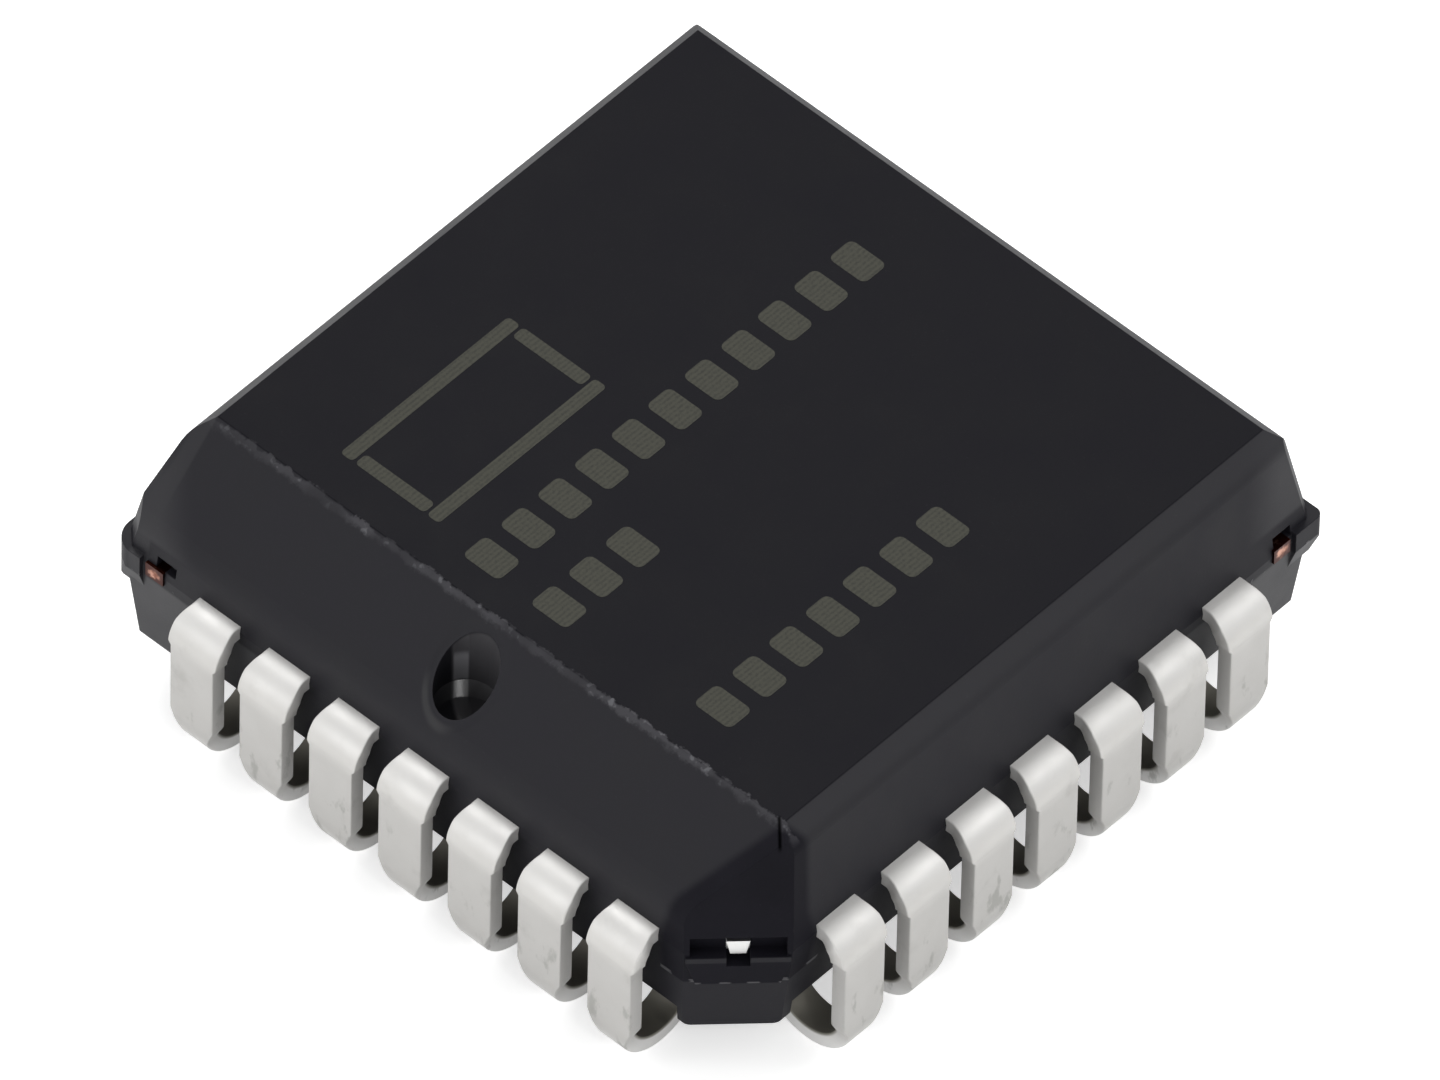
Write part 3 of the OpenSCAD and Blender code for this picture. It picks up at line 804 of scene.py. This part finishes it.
@dataclass(frozen=True)
class AdhesiveFinish:
    """Silver-filled adhesive: flakes in a grey binder."""

    binder: Colour = (0.30, 0.30, 0.29)
    flake: Colour = (0.72, 0.72, 0.70)
    flakes_per_mm: float = 34.0
    flake_span: Span = (0.1, 0.5)
    roughness: Span = (0.35, 0.6)
    roughness_span: Span = (0.0, 0.6)
    relief: Relief = Relief(0.004, 0.5)
    metallic: float = 0.6

    def make(self) -> Material:
        """Build the material.

        Returns:
            The material.
        """
        sh = Shading(Slot.ADHESIVE.value)
        flakes = sh.node("ShaderNodeTexVoronoi", {"Vector": sh.place, "Scale": self.flakes_per_mm})
        apart = flakes.outputs["Distance"]
        colour = sh.blend(sh.ramp(apart, self.flake_span, FALL), self.binder, self.flake)
        roughness = sh.ramp(apart, self.roughness_span, self.roughness)
        return sh.principled(colour, roughness, sh.bump(apart, self.relief), self.metallic)


@dataclass(frozen=True)
class LaserMarkFinish:
    """Compound that a laser has lightened: olive grey, frosted, with the beam's fine lines."""

    name: str = "laser_marked_compound"
    frosted: Colour = (0.056, 0.056, 0.045)
    burnt: Colour = (0.034, 0.034, 0.029)
    tone_span: Span = (0.25, 0.65)
    line_pitch: float = 0.07
    line_distortion: float = 1.2
    line_detail: float = 2.0
    line_share: float = 0.16
    frost: Noise = Noise(20.0, 3.0, 0.7)
    frost_share: float = 0.84
    roughness: Span = (0.77, 0.90)
    roughness_span: Span = (0.2, 0.8)
    relief: Relief = Relief(0.004, 0.6)
    specular: float = 0.2

    def make(self) -> Material:
        """Build the material.

        Returns:
            The material.
        """
        sh = Shading(self.name)
        # The wave node turns by 20 radians for each unit of its scaled coordinate
        inputs = {"Vector": sh.place, "Scale": math.tau / (20.0 * self.line_pitch)}
        inputs.update(Distortion=self.line_distortion, Detail=self.line_detail)
        passes = sh.node("ShaderNodeTexWave", inputs, bands_direction="Y")
        frost = sh.noise(self.frost)
        lines = sh.product(passes.outputs["Fac"], self.line_share)
        uneven = sh.total(lines, sh.product(frost, self.frost_share))
        colour = sh.blend(sh.ramp(uneven, self.tone_span), self.burnt, self.frosted)
        roughness = sh.ramp(frost, self.roughness_span, self.roughness)
        return sh.principled(colour, roughness, sh.bump(uneven, self.relief), NO_METAL, self.specular)


def piece_from(bm: BMesh, name: str, material: Material) -> bpy.types.Object:
    """Make a finished piece of a bmesh in millimetres.

    Args:
        bm: The shape, in millimetres and in the part's frame. It is freed.
        name: The piece's name.
        material: Its finish.

    Returns:
        The new object, riding on the body and standing at the origin.
    """
    bmesh.ops.remove_doubles(bm, verts=bm.verts, dist=MERGE_DISTANCE)
    bmesh.ops.recalc_face_normals(bm, faces=bm.faces)
    bmesh.ops.scale(bm, vec=(MM, MM, MM), verts=bm.verts)
    for face in bm.faces:
        face.smooth = True
    mesh = bpy.data.meshes.new(name)
    bm.to_mesh(mesh)
    bm.free()
    mesh.set_sharp_from_angle(angle=math.radians(SHARP_ANGLE))
    mesh.materials.append(material)
    piece = bpy.data.objects.new(name, mesh)
    bpy.context.scene.collection.objects.link(piece)
    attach(piece, BODY)
    return piece


def dress(node_name: str, material: Material) -> None:
    """Give a CAD node its finish.

    Args:
        node_name: The node.
        material: The finish.
    """
    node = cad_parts[node_name]
    node.data.materials.clear()
    node.data.materials.append(material)
    log.info("dressed %s in %s", node_name, material.name)


@dataclass
class Station:
    """A cross-section of a lead, in the frame of the lead's own side.

    u points out of the side, v along it and z up. turn is 0 where the lead runs outwards and 90
    degrees where it runs down.
    """

    u: float
    v: float
    z: float
    turn: float
    width: float

    def matrix(self) -> Matrix:
        """Place of the section: its x lies across the lead and its y towards the outer face.

        Returns:
            The matrix from the section to the side's frame.
        """
        turn = math.radians(self.turn)
        across = Vector((0.0, 1.0, 0.0))
        outer = Vector((math.sin(turn), 0.0, math.cos(turn)))
        along = across.cross(outer)
        place = Matrix((across, outer, along)).transposed().to_4x4()
        place.translation = (self.u, self.v, self.z)
        return place


@dataclass
class FormedLead:
    """A lead from its inner tip, out of the wall, over the shoulder and down into the J."""

    metal_t: float = 0.25
    edge_r: float = 0.022
    leadframe_top: float = 2.65
    tip_u: float = 2.85
    tip_len: float = 0.45
    tip_w: float = 0.4
    root_u: float = 5.235
    exit_w: float = 0.76
    stub_w: float = 0.87
    stub_from: float = 8.0
    stub_full: float = 44.0
    shoulder_turn: float = 86.0
    leg_w: float = 0.78
    leg_start: float = 0.03
    foot_w: float = 0.5
    taper_h: float = 0.32
    leg_face: float = 6.225
    shoulder_r: float = 0.475
    foot_r: float = 0.8
    tip_turn: float = 60.0
    bend_step: float = 6.0
    corner_segments: int = 3

    def stations(self, tip_v: float, row_v: float) -> list[Station]:
        """Sections of the lead from its inner tip to the end of the J.

        Args:
            tip_v: Place of the inner tip along the side.
            row_v: Place of the formed part along the side.

        Returns:
            The sections in order.
        """
        mid_z = self.leadframe_top - self.metal_t / 2
        shoulder_u = self.leg_face - self.shoulder_r
        shoulder_z = self.leadframe_top - self.shoulder_r
        made = [
            Station(self.tip_u, tip_v, mid_z, 0.0, self.tip_w),
            Station(self.tip_u + self.tip_len, tip_v, mid_z, 0.0, self.tip_w),
            Station(self.root_u, row_v, mid_z, 0.0, self.exit_w),
        ]
        bend = self.shoulder_r - self.metal_t / 2
        for turn, width in self.shoulder_turns():
            made.append(self.on_arc(shoulder_u, row_v, shoulder_z, bend, turn, width))
        leg_u = self.leg_face - self.metal_t / 2
        made.append(Station(leg_u, row_v, shoulder_z - self.leg_start, 90.0, self.leg_w))
        made.append(Station(leg_u, row_v, self.taper_top(), 90.0, self.leg_w))
        made.append(Station(leg_u, row_v, self.foot_r, 90.0, self.foot_width(self.foot_r)))
        foot_u = self.leg_face - self.foot_r
        curl = self.foot_r - self.metal_t / 2
        steps = round((90.0 + self.tip_turn) / self.bend_step)
        for i in range(1, steps + 1):
            turn = 90.0 + i * (90.0 + self.tip_turn) / steps
            section = self.on_arc(foot_u, row_v, self.foot_r, curl, turn, self.foot_w)
            section.width = self.foot_width(section.z) if turn < 180.0 else self.foot_w
            made.append(section)
        return made

    def shoulder_turns(self) -> list[tuple[float, float]]:
        """Turn and width of each section of the shoulder, which widens to the stubs of the tie bars.

        Returns:
            Pairs of turn and width.
        """
        steps = round(self.shoulder_turn / self.bend_step)
        made = []
        for i in range(steps + 1):
            turn = i * self.shoulder_turn / steps
            share = min(max((turn - self.stub_from) / (self.stub_full - self.stub_from), 0.0), 1.0)
            made.append((turn, self.exit_w + (self.stub_w - self.exit_w) * share))
        return made

    def taper_top(self) -> float:
        """Height where the lead starts to taper."""
        return self.foot_r - self.metal_t + self.taper_h

    def foot_width(self, z: float) -> float:
        """Width of the lead at this height, where it tapers from the leg to the foot."""
        share = min(max((self.taper_top() - z) / self.taper_h, 0.0), 1.0)
        return self.leg_w + (self.foot_w - self.leg_w) * share

    @staticmethod
    def on_arc(u: float, v: float, z: float, radius: float, turn: float, width: float) -> Station:
        """Section on a bend with this centre and middle radius, past this turn in degrees."""
        angle = math.radians(turn)
        return Station(u + radius * math.sin(angle), v, z + radius * math.cos(angle), turn, width)

    def build(self, tip_v: float, row_v: float) -> BMesh:
        """Sweep the section along the lead.

        Args:
            tip_v: Place of the inner tip along the side.
            row_v: Place of the formed part along the side.

        Returns:
            The lead in the frame of its side, in millimetres.
        """
        path = self.stations(tip_v, row_v)
        bm = bmesh.new()
        bmesh.ops.create_grid(bm, x_segments=1, y_segments=1, size=0.5)
        bmesh.ops.scale(bm, vec=(path[0].width, self.metal_t, 1.0), verts=bm.verts)
        corners = {"offset": self.edge_r, "segments": self.corner_segments, "profile": ROUND}
        bmesh.ops.bevel(bm, geom=list(bm.verts), affect="VERTICES", material=-1, **corners)
        bmesh.ops.delete(bm, geom=list(bm.faces), context="FACES_ONLY")
        bmesh.ops.transform(bm, matrix=path[0].matrix(), verts=bm.verts)
        first_ring = list(bm.edges)
        ring = first_ring
        for last, section in zip(path, path[1:]):
            out = bmesh.ops.extrude_edge_only(bm, edges=ring)
            ring = [e for e in out["geom"] if isinstance(e, bmesh.types.BMEdge)]
            moved = [v for v in out["geom"] if isinstance(v, bmesh.types.BMVert)]
            self.step(moved, last, section)
        for rim in (first_ring, ring):
            bmesh.ops.contextual_create(bm, geom=rim)
        return bm

    @staticmethod
    def step(verts: list[bmesh.types.BMVert], last: Station, section: Station) -> None:
        """Carry a ring from one section to the next, and move its halves apart to the new width.

        Args:
            verts: The ring's vertices.
            last: Where they are.
            section: Where they go.
        """
        back = last.matrix().inverted()
        place = section.matrix()
        spread = (section.width - last.width) / 2
        for vert in verts:
            local = back @ vert.co
            local.x += spread if local.x > 0 else -spread
            vert.co = place @ local


@dataclass
class LeadRows:
    """All the leads, seven to a side, and how they stand round the body."""

    per_side: int = 7
    pitch: float = 1.27
    tip_pitch: float = 0.7402
    lead: FormedLead = field(default_factory=FormedLead)
    finish: TinFinish = TinFinish(
        Slot.TIN.value,
        base=(0.63, 0.62, 0.60),
        tarnish=(0.52, 0.51, 0.49),
        roughness=(0.47, 0.58),
        metallic=0.55,
    )

    def build(self) -> None:
        """Make each lead and put it in place of its CAD node."""
        tin = self.finish.make()
        for pin in range(1, 4 * self.per_side + 1):
            side, place = self.where(pin)
            bm = self.lead.build(place * self.tip_pitch, place * self.pitch)
            turn = Matrix.Rotation(math.radians(180.0 + 90.0 * side), 4, "Z")
            bmesh.ops.transform(bm, matrix=turn, verts=bm.verts)
            piece = piece_from(bm, f"formed_lead_{pin:02d}", tin)
            flatten = piece.modifiers.new("even_faces", "WEIGHTED_NORMAL")
            flatten.keep_sharp = True
            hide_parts(f"lead_{pin:02d}")
            log.info("lead %02d on side %d at place %+d", pin, side, place)

    def where(self, pin: int) -> tuple[int, int]:
        """Side and place of a pin: pin one is the middle lead of the bevelled side.

        Args:
            pin: The pin's number, anticlockwise from above.

        Returns:
            The side, counted anticlockwise from the bevelled one, and the place from its middle.
        """
        half = (self.per_side - 1) // 2
        index = (pin - 1 + half) % (4 * self.per_side)
        return index // self.per_side, index % self.per_side - half


@dataclass
class MarkedRow:
    """A row of plain blocks that stands for a line of marking."""

    start_x: float
    y: float
    blocks: int


@dataclass
class LaserMarking:
    """Plain blocks and an empty field on the top face, where such a chip has its marking."""

    top_z: float = 4.45
    block_w: float = 0.46
    block_h: float = 0.66
    block_pitch: float = 0.72
    proud: float = 0.003
    sunk: float = 0.01
    corner_r: float = 0.10
    corner_share: float = 0.3
    corner_segments: int = 4
    finish: LaserMarkFinish = LaserMarkFinish()
    rows: tuple[MarkedRow, ...] = (
        MarkedRow(-3.84, 0.79, 11),
        MarkedRow(-3.84, -0.44, 3),
        MarkedRow(-3.62, -3.20, 7),
    )
    field_x: float = -2.0
    field_y: float = 2.62
    field_w: float = 3.3
    field_h: float = 1.8
    field_line: float = 0.22
    field_gap: float = 0.05

    def build(self) -> None:
        """Make the blocks and the empty field."""
        bm = bmesh.new()
        for row in self.rows:
            for i in range(row.blocks):
                x = row.start_x + self.block_w / 2 + i * self.block_pitch
                self.block(bm, x, row.y, self.block_w, self.block_h)
        self.frame_lines(bm)
        piece_from(bm, "laser_marking", self.finish.make())
        log.info("laser marking: %d rows of plain blocks and an empty field", len(self.rows))

    def block(self, bm: BMesh, x: float, y: float, width: float, height: float) -> None:
        """Add a flat block with rounded corners.

        Args:
            bm: Where it goes.
            x: Its middle.
            y: Its middle.
            width: Size along X.
            height: Size along Y.
        """
        thick = self.proud + self.sunk
        place = Matrix.Translation((x, y, self.top_z + self.proud - thick / 2))
        size = Matrix.Diagonal((width, height, thick, 1.0))
        made = bmesh.ops.create_cube(bm, size=1.0, matrix=place @ size)
        edges = {e for v in made["verts"] for e in v.link_edges}
        upright = [e for e in edges if abs(e.verts[0].co.z - e.verts[1].co.z) > thick / 2]
        radius = min(self.corner_r, self.corner_share * min(width, height))
        corners = {"offset": radius, "segments": self.corner_segments, "profile": ROUND}
        bmesh.ops.bevel(bm, geom=upright, affect="EDGES", material=-1, **corners)

    def frame_lines(self, bm: BMesh) -> None:
        """Add the four lines round the empty field.

        Args:
            bm: Where they go.
        """
        inner_h = self.field_h - 2 * (self.field_line + self.field_gap)
        for side in (-1, 1):
            y = self.field_y + side * (self.field_h - self.field_line) / 2
            self.block(bm, self.field_x, y, self.field_w, self.field_line)
            x = self.field_x + side * (self.field_w - self.field_line) / 2
            self.block(bm, x, self.field_y, self.field_line, inner_h)


@dataclass
class MouldedPackage:
    """The moulded body and its marking."""

    bevel_x: float = -4.315
    top_z: float = 4.45
    pin_mark: PinMark = PinMark(x=-4.94, diameter=0.9, floor_z=2.85)
    finish: CompoundFinish = CompoundFinish()
    marking: LaserMarking = field(default_factory=LaserMarking)

    def build(self) -> None:
        """Dress the body and mark it."""
        dress("moulded_body", self.finish.make(self.bevel_x, self.top_z, self.pin_mark))
        self.marking.build()


@dataclass
class SealedInside:
    """What the body seals in: paddle with its tie bars, adhesive, die and wires."""

    copper: CopperFinish = CopperFinish(
        Slot.COPPER.value,
        base=(0.56, 0.30, 0.22),
        tarnish=(0.20, 0.07, 0.04),
        roughness=(0.29, 0.40),
        patches=Noise(4.2, 4.0, 0.6, (0.46, 0.66)),
    )
    gold: MetalFinish = MetalFinish(
        Slot.GOLD.value,
        base=(0.93, 0.70, 0.30),
        tarnish=(0.80, 0.55, 0.20),
        roughness=(0.17, 0.28),
        grain_relief=Relief(0.0004, 0.5),
        wave_relief=Relief(0.0005, 0.6),
    )
    adhesive: AdhesiveFinish = AdhesiveFinish()
    die: DieFinish = DieFinish()

    def build(self) -> None:
        """Dress the four nodes."""
        dress("die_paddle", self.copper.make())
        dress("die_attach", self.adhesive.make())
        dress("silicon_die", self.die.make())
        dress("bond_wires", self.gold.make())


@dataclass
class SoftLamp:
    """A square soft lamp aimed at the chip, with its power in watts."""

    lamp: Lamp
    towards: tuple[float, float, float]
    distance: float
    size: float
    power: float

    def build(self) -> None:
        """Make the lamp."""
        light = bpy.data.lights.new(self.lamp.value, "AREA")
        light.shape = "SQUARE"
        light.size = self.size * MM
        light.energy = self.power
        holder = bpy.data.objects.new(self.lamp.value, light)
        back = Vector(self.towards).normalized()
        holder.location = back * self.distance * MM
        holder.rotation_mode = "QUATERNION"
        holder.rotation_quaternion = (-back).to_track_quat("-Z", "Y")
        holder.visible_camera = False
        bpy.context.scene.collection.objects.link(holder)
        log.info("lamp %s of %.3f W", self.lamp.value, self.power)


@dataclass
class Studio:
    """Pale floor, white surroundings, soft lamps and the camera.

    The clip distances are in metres.
    """

    floor_half: float = 4000.0
    floor_white: float = 0.90
    floor_lift: float = 0.52
    mirrored_lift: float = 0.24
    horizon: float = 0.95
    zenith: float = 0.70
    zenith_span: Span = (0.25, 0.85)
    camera_side: float = 0.75
    camera_side_span: Span = (0.35, 0.9)
    lamps: tuple[SoftLamp, ...] = (
        SoftLamp(Lamp.OVERHEAD, (0.30, 0.43, 0.85), 160.0, 90.0, 0.115),
        SoftLamp(Lamp.BEVEL_SIDE, (-0.90, 0.25, 0.45), 180.0, 120.0, 0.068),
        SoftLamp(Lamp.RIGHT_SIDE, (0.50, -0.45, 0.74), 180.0, 90.0, 0.076),
        SoftLamp(Lamp.FRONT, (-0.288, -0.581, 0.7615), 180.0, 14.0, 0.022),
    )
    azimuth: float = -48.3
    elevation: float = 49.6
    roll: float = 1.37
    camera_distance: float = 535.6
    target: tuple[float, float, float] = (-0.137, -0.18, 2.65)
    lens: float = 1000.0
    sensor: float = 36.0
    clip_start: float = 0.01
    clip_end: float = 20.0

    def build(self) -> None:
        """Set the stage, the light and the camera."""
        bpy.context.scene.view_settings.view_transform = "Standard"
        self.lay_floor()
        self.light_surroundings()
        for lamp in self.lamps:
            lamp.build()
        self.place_camera()

    def lay_floor(self) -> None:
        """Lay the pale floor on the plane where the leads stand."""
        bm = bmesh.new()
        bmesh.ops.create_grid(bm, x_segments=1, y_segments=1, size=self.floor_half * MM)
        mesh = bpy.data.meshes.new("floor")
        bm.to_mesh(mesh)
        bm.free()
        material = bpy.data.materials.new("floor_white")
        material.use_nodes = True
        sh = NodeTree(material.node_tree)
        rays = sh.node("ShaderNodeLightPath", {}).outputs
        mirrored = sh.math("MAXIMUM", rays["Is Glossy Ray"], rays["Is Transmission Ray"])
        seen = sh.product(rays["Is Camera Ray"], self.floor_lift)
        glow = sh.total(seen, sh.product(mirrored, self.mirrored_lift))
        lift = sh.node("ShaderNodeEmission", {"Strength": glow}).outputs["Emission"]
        white = (self.floor_white, self.floor_white, self.floor_white, 1.0)
        matt = sh.node("ShaderNodeBsdfDiffuse", {"Color": white}).outputs["BSDF"]
        both = sh.node("ShaderNodeAddShader", {0: matt, 1: lift})
        sh.node("ShaderNodeOutputMaterial", {"Surface": both.outputs["Shader"]})
        mesh.materials.append(material)
        floor = bpy.data.objects.new("floor", mesh)
        bpy.context.scene.collection.objects.link(floor)

    def light_surroundings(self) -> None:
        """White surroundings that fall off towards the zenith, and plain white to the camera."""
        world = bpy.data.worlds.new("white_surroundings")
        bpy.context.scene.world = world
        world.use_nodes = True
        sky = NodeTree(world.node_tree)
        way = sky.node("ShaderNodeTexCoord", {}).outputs["Generated"]
        up = sky.node("ShaderNodeSeparateXYZ", {"Vector": way}).outputs["Z"]
        fall = sky.ramp(up, self.zenith_span, (self.horizon, self.zenith), "LINEAR")
        a = math.radians(self.azimuth)
        camera_way = (math.sin(a), -math.cos(a), 0.0)
        towards = sky.node("ShaderNodeVectorMath", {0: way, 1: camera_way}, operation="DOT_PRODUCT")
        gap = sky.ramp(towards.outputs["Value"], self.camera_side_span, (1.0, self.camera_side))
        rays = sky.node("ShaderNodeLightPath", {}).outputs
        strength = sky.between(rays["Is Camera Ray"], sky.product(fall, gap), 1.0)
        light = sky.node("ShaderNodeBackground", {"Strength": strength})
        sky.node("ShaderNodeOutputWorld", {"Surface": light.outputs["Background"]})

    def place_camera(self) -> None:
        """Put the camera at the photograph's angle."""
        data = bpy.data.cameras.new("camera")
        data.lens = self.lens
        data.sensor_width = self.sensor
        data.clip_start = self.clip_start
        data.clip_end = self.clip_end
        camera = bpy.data.objects.new("camera", data)
        a, e, r = (math.radians(v) for v in (self.azimuth, self.elevation, self.roll))
        back = Vector((math.sin(a) * math.cos(e), -math.cos(a) * math.cos(e), math.sin(e)))
        right = Vector((math.cos(a), math.sin(a), 0.0))
        up = back.cross(right)
        rolled = right * math.cos(r) + up * math.sin(r)
        axes = Matrix((rolled, back.cross(rolled), back)).transposed()
        camera.rotation_mode = "QUATERNION"
        camera.rotation_quaternion = axes.to_quaternion()
        camera.location = (Vector(self.target) + back * self.camera_distance) * MM
        bpy.context.scene.collection.objects.link(camera)
        bpy.context.scene.camera = camera


def main() -> None:
    """Build the classes in order."""
    logging.basicConfig(level=logging.INFO, format="%(message)s")
    for assembly in (MouldedPackage(), LeadRows(), SealedInside(), Studio()):
        log.info("building %s", type(assembly).__name__)
        assembly.build()


if __name__ == "__main__":
    main()
